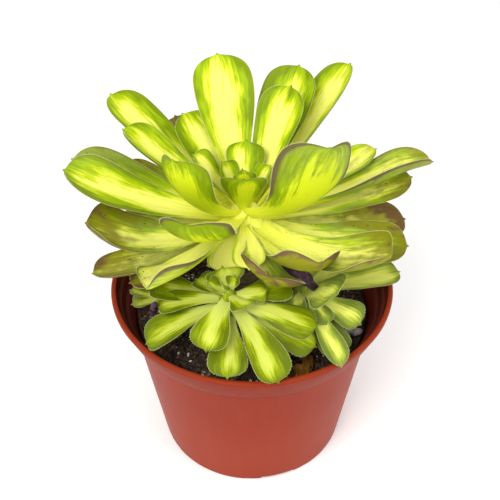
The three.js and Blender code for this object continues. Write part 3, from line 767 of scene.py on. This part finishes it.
CROWNS = {
    "main": [[0, 136.8], [8.5, 136.8], [10.8, 139.5], [10.4, 145], [7.5, 152], [4, 157], [0, 160]],
    "front": [[0, 114.7], [5, 114.7], [7, 117], [6.8, 120.5], [5, 125], [2.5, 129], [0, 130.8]],
    "side": [[0, 103.2], [5, 103.2], [7, 105.5], [6.8, 109], [5, 113.5], [2.5, 118], [0, 120]],
    "back": [[0, 93.4], [3, 93.4], [4.2, 95], [4, 98], [2.6, 101.5], [0, 104.5]],
}
for title, outline in CROWNS.items():
    crown = turned_part(rounded(outline), 40, ROSETTES[title][0])
    points, values = crown[0], crown[3]
    green, along = (-0.35, 0.3) if title == "main" else (0.1, 0.6)
    values["leaf_place"] = points[:, [0, 2, 1]] * [1, 1, 0] + [0, 0, 9]
    values["leaf_stain"] = points * 0 + [green, -0.3, 0]
    values["leaf_share"] = points * 0 + [0.3, along, 0]
    make_piece(title + "_crown", crown, LEAF_SKINS[title], title + "_rosette")

# %% [markdown]
# ## Pot
#
# The pot is thin moulded plastic: a tapered body, a deeper band below a rounded lip, two steps
# inside that keep stacked pots apart, and shallow notches round the foot for water to leave. The
# outline is carried round in small steps, and the foot is lifted where a notch is. The plastic is
# satin, with the faint mottling and rubbed spots of a pot that has been handled. Its colour also
# carries painted light and shade: the lower body is painted lighter towards the foot, the band is
# painted darker in the shade of the lip, and the inner wall is painted darker as shade, so each
# point stores whether it lies inside the wall. The eight drain holes are cut last, by a Boolean
# with eight upright rods that are then taken away, because the rings of a turned floor can't open
# round a hole.

# %% Pot
NOTCH_ANGLES = (-74, 16, 106, -164)
NOTCH_RADIUS = 46.2
DRAIN_CIRCLE_RADIUS = 40
DRAIN_HOLE_RADIUS = 3.5
FLOOR_TOP = 2.55  # just below the upper face of the pot's floor
SHARP_ANGLE = np.radians(38)
POT_OUTLINE = [
    (0, 0), (46, 0), (46.4, 0), (51.6, 0), (52, 0.3), (52.2, 1.2), (52.4, 2.4), (52.6, 3.6),
    (65.3, 87.2), (65.5, 87.8), (66.2, 88), (68, 88), (68.5, 88.2), (68.75, 88.8),
    (74.85, 102.8), (74.95, 103.8), (74.7, 104.6), (74, 105), (73.2, 105), (72.5, 104.6),
    (72.2, 103.8), (71.3, 99.6), (71, 99.1), (69.9, 98.6), (69.5, 98.2), (68.4, 93.6),
    (68.1, 93.1), (66.7, 92.5), (66.2, 92.1), (63.9, 87.2), (50.5, 3.2), (49.8, 2.7),
    (49, 2.6), (0, 2.6),
]


# faint mottling, painted light towards the foot, painted shade on the band under the lip, a
# brighter lip, painted shade on the inner wall and rubbed spots
sheet = Sheet("terracotta_plastic", (0.225, 0.02, 0.006))
place = sheet.position()
height = sheet.split(place)[2]
mottling = sheet.noise(place, 35.0, 4.0)
drawn = sheet.noise(sheet.stretched(place, (1.0, 1.0, 0.15)), 160.0, 3.0)
sheet.coat((0.268, 0.028, 0.01), mottling)
# painted light: the lower body is lighter towards the foot
sheet.coat((0.285, 0.035, 0.013), sheet.fade(height, 0.07, 0.015))
# painted shade: the band below the lip is darker, where the lip's shadow falls
sheet.coat((0.195, 0.019, 0.004), sheet.fade(height, 0.08, 0.092), 0.75)
sheet.coat((0.33, 0.05, 0.022), sheet.fade(drawn, 0.45, 0.75), 0.2)
# painted shade: the inner wall is darker
sheet.coat((0.028, 0.007, 0.006), sheet.attribute("pot_inside", "Fac"), 0.62)
sheet.coat((0.25, 0.03, 0.008), sheet.fade(height, 0.1032, 0.1046))
sheet.coat((0.42, 0.15, 0.1), sheet.fade(sheet.cells(place, 260.0), 0.07, 0.03), 0.2)
sheet.bump(sheet.noise(place, 700.0, 2.0), 0.05, 0.0002)
plastic = sheet.finish(sheet.plus(0.36, sheet.times(mottling, 0.14)), 0.07)

plain_pot = turned_part(POT_OUTLINE, sectors=360)
x, y, z = plain_pot[0].T
radius, around = np.hypot(x, y), np.degrees(np.arctan2(y, x))
# the foot is lifted by 1.8 mm within 10 degrees of a notch's middle, and by 0.6 mm within 20
away_by = np.abs((around[:, None] - NOTCH_ANGLES + 180) % 360 - 180).min(axis=1)
lift = np.where(away_by < 10.5, 1.8, np.where(away_by < 20.5, 0.6, 0.0))
is_foot = (z < 1.5) & (radius > NOTCH_RADIUS)
z[is_foot] = np.maximum(z, lift)[is_foot]
outer_wall = np.array(POT_OUTLINE[3:18])
depth = np.interp(z, outer_wall[:, 1], outer_wall[:, 0]) - radius
# marks the inner wall, where the painted shade goes
plain_pot[3]["pot_inside"] = smooth_step((depth - 0.9) / 0.8) * (z > FLOOR_TOP)
pot = make_piece("moulded_pot", plain_pot, plastic, "pot")

rod = [(0, -3), (DRAIN_HOLE_RADIUS, -3), (DRAIN_HOLE_RADIUS, 6), (0, 6)]
hole_angles = np.radians([first + turn for first in NOTCH_ANGLES for turn in (0, 45)])
centres = DRAIN_CIRCLE_RADIUS * np.stack([np.cos(hole_angles), np.sin(hole_angles)], axis=-1)
rod_mesh = make_mesh("drain_rods", joined([turned_part(rod, 32, centre) for centre in centres]))
drain_rods = bpy.data.objects.new("drain_rods", rod_mesh)
bpy.context.collection.objects.link(drain_rods)
cut = pot.modifiers.new("drain_holes", "BOOLEAN")
cut.object, cut.operation, cut.solver = drain_rods, "DIFFERENCE", "EXACT"
graph = bpy.context.evaluated_depsgraph_get()
drilled = bpy.data.meshes.new_from_object(pot.evaluated_get(graph))
pot.modifiers.clear()
pot.data = drilled
bpy.data.objects.remove(drain_rods)
bpy.data.meshes.remove(rod_mesh)
pot.data.set_sharp_from_angle(angle=SHARP_ANGLE)
print("eight drain holes leave", len(drilled.polygons), "faces")

# %% [markdown]
# ## Soil
#
# Potting mix is a heap of dark crumbs with white perlite in it. The heap is one turned surface with
# low relief: wide lumps by a formula, and small ones by noise read from a seeded grid of random
# numbers. A formula gives the height anywhere, so loose grains can be laid on it later.

# %% Soil surface
def grid_noise(x, y, cell, seed):
    """Random heights on a grid of that cell size, joined by smooth steps."""
    table = np.random.default_rng(seed).uniform(-1, 1, (256, 256))
    column, row = np.floor(x / cell).astype(int), np.floor(y / cell).astype(int)
    u, v = smooth_step(x / cell - column), smooth_step(y / cell - row)
    low, high = (
        mix(table[line % 256, column % 256], table[line % 256, (column + 1) % 256], u)
        for line in (row, row + 1)
    )
    return mix(low, high, v)


SOIL_LEVEL = 88.0
SOIL_EDGE = 85.5


def soil_height(x, y):
    """Wide lumps and a low mound, faded out towards the wall, plus two sizes of crumbs."""
    lumps = np.sin(x / 7 + 1.3) * np.cos(y / 6.1) + 0.6 * np.sin((x + y) / 4.3)
    mound = 2.2 * np.exp(-((x + 4) ** 2 + (y + 8) ** 2) / 900)
    fade = 1 - smooth_step((np.hypot(x, y) - 50) / 14)
    crumbs = 0.55 * grid_noise(x, y, 2.6, 3) + 0.3 * grid_noise(x, y, 1.1, 4)
    return SOIL_EDGE + (SOIL_LEVEL - SOIL_EDGE + lumps + mound) * fade + crumbs - 0.4


# near-black peat with brown fibres and pale dust
sheet = Sheet("potting_mix", (0.014, 0.009, 0.006))
place = sheet.position()
crumbs = sheet.noise(place, 420.0, 5.0, 0.65)
fibres = sheet.noise(sheet.stretched(place, (1.0, 0.25, 1.0)), 900.0, 3.0)
sheet.coat((0.075, 0.046, 0.03), sheet.fade(crumbs, 0.35, 0.65))
sheet.coat((0.19, 0.12, 0.075), sheet.fade(fibres, 0.62, 0.75))
sheet.coat((0.45, 0.4, 0.35), sheet.fade(sheet.cells(place, 480.0), 0.16, 0.08), 0.3)
sheet.bump(crumbs, 0.8, 0.0012)
peat = sheet.finish(0.92, 0.2)

soil_top = [(radius, 88.0) for radius in np.linspace(1.0, 62.35, 84)]
heap = turned_part([(0, 2.9), (50.1, 2.9), *soil_top[::-1], (0, 88.0)], sectors=300)
x, y, z = heap[0].T
z[z > 50] = soil_height(x, y)[z > 50]
make_piece("soil_heap", heap, peat, "soil")

# %% [markdown]
# ## Loose grains
#
# Crumbs, bits of bark, white perlite and a few grit stones lie loose on the heap. Each is one
# twenty-sided lump, stretched and turned at random, which is enough at this size. All lumps of a
# kind are one mesh, because thousands of objects would only be slow.

# %% Loose grains
GOLDEN = (1 + 5**0.5) / 2
LUMP_CORNERS = [(a, b * GOLDEN, 0) for b in (1, -1) for a in (-1, 1)]
LUMP_POINTS = np.array([np.roll(corner, turn) for turn in range(3) for corner in LUMP_CORNERS])
LUMP_POINTS = LUMP_POINTS / np.hypot(1, GOLDEN)
LUMP_FACES = [
    *((0, 11, 5), (0, 5, 1), (0, 1, 7), (0, 7, 10), (0, 10, 11), (1, 5, 9), (5, 11, 4)),
    *((11, 10, 2), (10, 7, 6), (7, 1, 8), (3, 9, 4), (3, 4, 2), (3, 2, 6), (3, 6, 8)),
    *((3, 8, 9), (4, 9, 5), (2, 4, 11), (6, 2, 10), (8, 6, 7), (9, 8, 1)),
]


def scatter_lumps(places, sizes, form, flatness, seed):
    """Twenty-sided lumps of one length, width and depth: roughened, turned, pressed flat."""
    chance = np.random.default_rng(seed)
    count = len(places)
    spin = np.linalg.qr(chance.normal(size=(count, 3, 3)))[0]
    spin[:, :, 0] *= np.sign(np.linalg.det(spin))[:, None]
    stretch = chance.uniform(0.65, 1.25, (count, 1, 3)) * np.array([1, 1, flatness])
    rough = chance.uniform(0.78, 1.15, (count, 12, 1))
    lumps = LUMP_POINTS * form * rough * chance.uniform(0.8, 1.2, (count, 1, 3))
    shapes = np.einsum("nij,nkj->nki", spin, lumps)
    return many_bodies(places[:, None, :] + shapes * stretch * sizes[:, None, None], LUMP_FACES)


def on_soil(sizes, seed, centre=(0.0, 0.0), spread=60.0, bury=0.3):
    """Even random places in a circle on the heap, each lump sunk by a share of its size."""
    chance = np.random.default_rng(seed)
    radius = spread * np.sqrt(chance.uniform(0, 1, len(sizes)))
    angle = chance.uniform(0, 2 * np.pi, len(sizes))
    x, y = centre[0] + radius * np.cos(angle), centre[1] + radius * np.sin(angle)
    return np.stack([x, y, soil_height(x, y) + sizes * (1 - bury) * 0.6], axis=-1)


def grain_finish(name, dark, light, scale, roughness=0.9):
    """Mineral or wood grains: two tones mixed by noise, and a rough broken surface."""
    sheet = Sheet(name, dark)
    noise = sheet.noise(sheet.position(), scale, 4.0)
    sheet.coat(light, sheet.fade(noise, 0.35, 0.65))
    sheet.bump(noise, 0.5, 0.0006)
    return sheet.finish(roughness, 0.3)


crumb_skin = grain_finish("dark_crumbs", (0.016, 0.011, 0.008), (0.1, 0.062, 0.042), 500.0)
chip_skin = grain_finish("bark_bits", (0.07, 0.035, 0.02), (0.24, 0.14, 0.08), 400.0)
perlite_skin = grain_finish("white_perlite", (0.62, 0.58, 0.52), (0.85, 0.83, 0.79), 700.0)
# how many, smallest and largest size, form, flatness, finish
KINDS = {
    "soil_crumbs": (3200, (0.4, 1.3), (1, 1, 1), 0.8, crumb_skin),
    "bark_bits": (420, (0.6, 1.8), (1.6, 0.6, 0.35), 0.6, chip_skin),
    "perlite": (340, (0.3, 1.1), (1.1, 0.9, 0.8), 0.9, perlite_skin),
}
for seed, (title, row) in enumerate(KINDS.items(), start=11):
    count, size_range, form, flatness, skin = row
    sizes = np.random.default_rng(seed).uniform(*size_range, count)
    places = on_soil(sizes, seed + 20)
    lumps = scatter_lumps(places, sizes, form, flatness, seed + 40)
    make_piece(title, lumps, skin, "soil", smooth=False)

# %% Grit stones
sizes = np.random.default_rng(5).uniform(2.2, 4.2, 26)
places = on_soil(sizes, 6, centre=(50.0, -17.0), spread=13.0, bury=0.2)
inside = np.hypot(places[:, 0], places[:, 1]) < 60.0
stones = scatter_lumps(places[inside], sizes[inside], (1.1, 0.9, 0.8), 0.7, 8)
grit = grain_finish("grey_grit", (0.2, 0.17, 0.155), (0.46, 0.42, 0.39), 260.0, 0.8)
make_piece("grit_stones", stones, grit, "soil")

# %% [markdown]
# ## Stems
#
# A tree aeonium's stem is ringed with the scars of fallen leaves. Each stem is a circle carried
# along a smooth curve through a few points, and the scars are low ridges that repeat up the stem.
# A bevelled curve would be quicker, but its rings couldn't swell into scars.

# %% Stems
def smooth_path(points, steps):
    """A smooth curve through the points, whose cubics take their end slopes from the neighbours."""
    points = np.array(points, float)
    padded = np.concatenate([2 * points[:1] - points[1:2], points, 2 * points[-1:] - points[-2:-1]])
    place = np.linspace(0, len(points) - 1, steps)
    span = np.minimum(place.astype(int), len(points) - 2)
    u = (place - span)[:, None]
    a, b, c, d = (padded[span + k] for k in range(4))
    start = 2 * b + (c - a) * u + (2 * a - 5 * b + 4 * c - d) * u**2
    return 0.5 * (start + (3 * b - a - 3 * c + d) * u**3)


def tube_part(path, radius, scar_height, scar_spacing, seed, rows=120, sectors=36):
    """Rings along a path. The radius swells at the scars, narrow ridges at even spacing."""
    line = smooth_path(path, rows)
    along = unit(np.gradient(line, axis=0))
    first = unit(np.cross(along, [0.0, 1.0, 0.0]))
    second = np.cross(along, first)
    angle = 2 * np.pi * np.arange(sectors) / sectors
    travelled = travel(line)[:, None]
    in_spacing = (travelled + 0.8 * np.sin(angle + seed)) / scar_spacing % 1
    ridge = np.exp(-(((in_spacing - 0.5) / 0.16) ** 2))
    folds = 0.3 * np.sin(5 * angle + 2 * np.sin(travelled / 9))
    r = radius * 0.97 + scar_height * (ridge - 0.4) + 0.4 * scar_height * folds
    rings = line[:, None] + along_axis(first, r * np.cos(angle))
    return closed_rings(rings + along_axis(second, r * np.sin(angle)), line[[0, -1]])


def bark_finish(name, dark, light):
    """Dull bark: rings darker in the hollows and fine vertical cracks."""
    sheet = Sheet(name, dark)
    place = sheet.position()
    rings = sheet.noise(sheet.stretched(place, (0.4, 0.4, 2.5)), 220.0, 4.0)
    cracks = sheet.noise(sheet.stretched(place, (3.0, 3.0, 0.4)), 260.0, 3.0)
    sheet.coat(light, sheet.fade(rings, 0.35, 0.65))
    sheet.coat(dark, sheet.fade(cracks, 0.55, 0.7), 0.35)
    sheet.bump(sheet.plus(rings, cracks), 0.5, 0.0008)
    return sheet.finish(0.82, 0.25)


bark = bark_finish("ringed_bark", (0.1, 0.065, 0.035), (0.34, 0.27, 0.13))
dry_skin = bark_finish("dried_stub_skin", (0.035, 0.018, 0.024), (0.12, 0.075, 0.095))
STEM_PATHS = {
    "main_stem": [(-3, 1, 66), (-3, 1, 92), (-4.6, 0.5, 115), (-4, 0, 132), (-4, 0, 136.4)],
    "front_stem": [
        *((-11, -27, 66), (-11, -27, 90), (-11.5, -33, 104)),
        *((-11, -36.5, 110), (-11, -36.7, 114.1)),
    ],
    "side_stem": [(27, -17, 66), (26.6, -16.6, 82), (27, -17, 92), (27, -17, 102.7)],
    "back_stem": [(-47, -9, 66), (-47, -9, 80), (-47, -9, 87), (-47, -9, 93.1)],
    "dried_stub": [(-51, -17, 66), (-51, -17, 90), (-52, -18, 97), (-50.5, -19, 104)],
}
# radius, height and spacing of the scars
STEM_SIZES = [(8.0, 0.5, 4.5), (4.0, 0.3, 3.0), (4.0, 0.3, 3.0), (2.6, 0.2, 2.4), (1.8, 0.45, 2.0)]
for seed, (title, path) in enumerate(STEM_PATHS.items()):
    skin, slot = (dry_skin, "withered_purple") if title == "dried_stub" else (bark, "bark")
    make_piece(title + "_skin", tube_part(path, *STEM_SIZES[seed], seed), skin, title)

# %% [markdown]
# ## Dry leaves
#
# Two dead leaves remain: a tan one curled on the soil and a withered purple one that hangs at the
# stem. Each is a thin strip carried along a curve, curled across and crumpled by waves that grow
# towards its margins. Cloth could be crumpled too, but waves give the same leaf each time.

# %% Dry leaves
def dry_leaf_part(path, width, thickness, twist, seed, rows=70, ring=32):
    """A closed strip: width by a sine along the curve, curl by t squared, crumples by waves."""
    line = smooth_path(path, rows)
    s = np.linspace(0, 1, rows)[:, None]
    along = unit(np.gradient(line, axis=0))
    side = unit(np.cross([0.0, 0.0, 1.0], along))
    turn = mix(*twist, s)
    side = side * np.cos(turn) + np.cross(along, side) * np.sin(turn)
    f = 2 * np.pi * np.arange(ring) / ring
    t = np.cos(f)
    half = 0.5 * width * (0.3 + 0.7 * np.sin(np.pi * np.minimum(1, 0.08 + 0.9 * s)))
    half = half * (1 + 0.16 * np.sin(26 * s + 2 * seed + 2.5 * np.sign(t)))
    crumple = 0.9 * np.sin(9 * s + seed + 3.2 * t) + 1.0 * np.sin(25 * s - 5 * t) * np.abs(t)
    lift = 0.35 * half * t**2 + crumple + 0.5 * thickness * np.sin(f)
    face = np.cross(along, side)
    return closed_rings(line[:, None] + along_axis(side, half * t) + along_axis(face, lift))


def dry_finish(name, dark, middle, light):
    """Dead leaf: cloudy tones, fine veins and a wrinkled surface."""
    sheet = Sheet(name, dark)
    place = sheet.position()
    clouds = sheet.noise(place, 120.0, 4.0)
    veins = sheet.noise(sheet.stretched(place, (1.0, 0.2, 1.0)), 700.0, 3.0)
    sheet.coat(middle, sheet.fade(clouds, 0.35, 0.55))
    sheet.coat(light, sheet.fade(veins, 0.5, 0.72))
    sheet.bump(sheet.plus(clouds, veins), 0.6, 0.0008)
    return sheet.finish(0.7, 0.12)


TAN_TONES = (0.075, 0.028, 0.004), (0.21, 0.09, 0.01), (0.36, 0.185, 0.035)
PURPLE_TONES = (0.022, 0.01, 0.015), (0.06, 0.03, 0.042), (0.11, 0.065, 0.08)
TAN_PATH = [(15, -43, 88.9), (19, -54, 88.9), (26, -53, 91.3), (29, -44, 92.3)]
WITHERED_PATH = [(3.2, -4.15, 129.6), (14, -15, 131.4), (24, -25, 129.4), (32, -28, 123.6)]
tan_skin = dry_finish("dry_tan_skin", *TAN_TONES)
purple_skin = dry_finish("withered_purple_skin", *PURPLE_TONES)
tan_leaf = dry_leaf_part(TAN_PATH, 9.0, 0.8, (0.0, 0.9), 1.0)
withered_leaf = dry_leaf_part(WITHERED_PATH, 9.0, 0.9, (0.3, 1.0), 2.0)
make_piece("dry_leaf_skin", tan_leaf, tan_skin, "dry_leaf")
make_piece("withered_leaf_skin", withered_leaf, purple_skin, "withered_leaf")

# %% [markdown]
